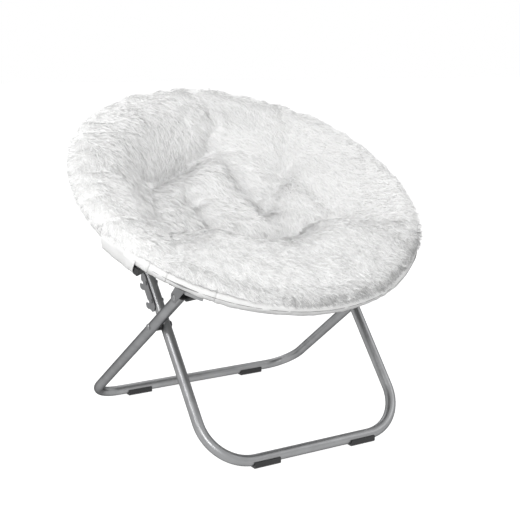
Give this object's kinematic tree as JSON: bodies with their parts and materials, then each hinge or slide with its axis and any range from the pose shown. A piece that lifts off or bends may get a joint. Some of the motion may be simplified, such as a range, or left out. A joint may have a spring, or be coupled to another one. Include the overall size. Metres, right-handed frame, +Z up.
{
  "type": "folding_saucer_chair",
  "caption": "Folding saucer chair: a hinged round tube ring on two crossing grey steel leg frames, with a fabric sling and a deep tufted white faux-fur cushion.",
  "frame": {"origin": "on the floor, at the middle of the chair's bounding box", "axes": "+X across the chair, to the right of somebody who stands in front of it and looks at its back; +Y from the front of the chair to its back; +Z up"},
  "size_m": [0.77, 0.6623, 0.7079],
  "materials": {
    "grey_paint": "satin grey powder coat on steel tube",
    "dark_fittings": "darker plated steel plate and pins",
    "black_plastic": "matte black moulded plastic",
    "white_fabric": "white woven polyester",
    "faux_fur": "white long-pile faux fur"
  },
  "bodies": {
    "rear_ring": {"rear_ring_tube": "grey_paint", "rear_bracket_left": "grey_paint", "rear_bracket_right": "grey_paint", "rear_bracket_rivets": "grey_paint", "hinge_channel_left": "grey_paint", "hinge_channel_right": "grey_paint", "hinge_pins": "dark_fittings", "hinge_boots": "black_plastic", "rear_rim_sleeve": "white_fabric", "seat_sling": "white_fabric", "seat_cushion": "faux_fur"},
    "front_ring": {"front_ring_tube": "grey_paint", "front_bracket_left": "grey_paint", "front_bracket_right": "grey_paint", "front_bracket_rivets": "grey_paint", "hinge_tongue_left": "grey_paint", "hinge_tongue_right": "grey_paint", "front_rim_sleeve": "white_fabric"},
    "front_leg": {"front_leg_frame": "grey_paint", "front_foot_pads": "black_plastic", "front_leg_caps": "black_plastic", "catch_plate_left": "grey_paint", "catch_plate_right": "grey_paint", "catch_rivets": "grey_paint"},
    "rear_leg": {"rear_leg_frame": "grey_paint", "rear_foot_pads": "black_plastic", "rear_leg_caps": "black_plastic", "pivot_rivets": "grey_paint", "pivot_spacers": "black_plastic"}
  },
  "joints": [
    {"name": "ring_pivot", "type": "hinge", "parent": "rear_ring", "child": "front_leg", "pos_m": [0, 0.24051, 0.61426], "axis": [1, 0, 0], "range_deg": [-26.34, 0]},
    {"name": "leg_pivot", "type": "hinge", "parent": "front_leg", "child": "rear_leg", "pos_m": [0, -0.064, 0.251], "axis": [1, 0, 0], "range_deg": [-65.38, 0]},
    {"name": "ring_hinge", "type": "hinge", "parent": "rear_ring", "child": "front_ring", "pos_m": [0, -0.12468, 0.42897], "axis": [1, 0, 0], "range_deg": [-160, 0], "deforming": ["seat_cushion", "seat_sling"]}
  ],
  "couplings": [
    {"joint": "ring_pivot", "follows": "leg_pivot", "ratio": 0.4028},
    {"joint": "ring_hinge", "follows": "leg_pivot", "ratio": 2.4472}
  ]
}
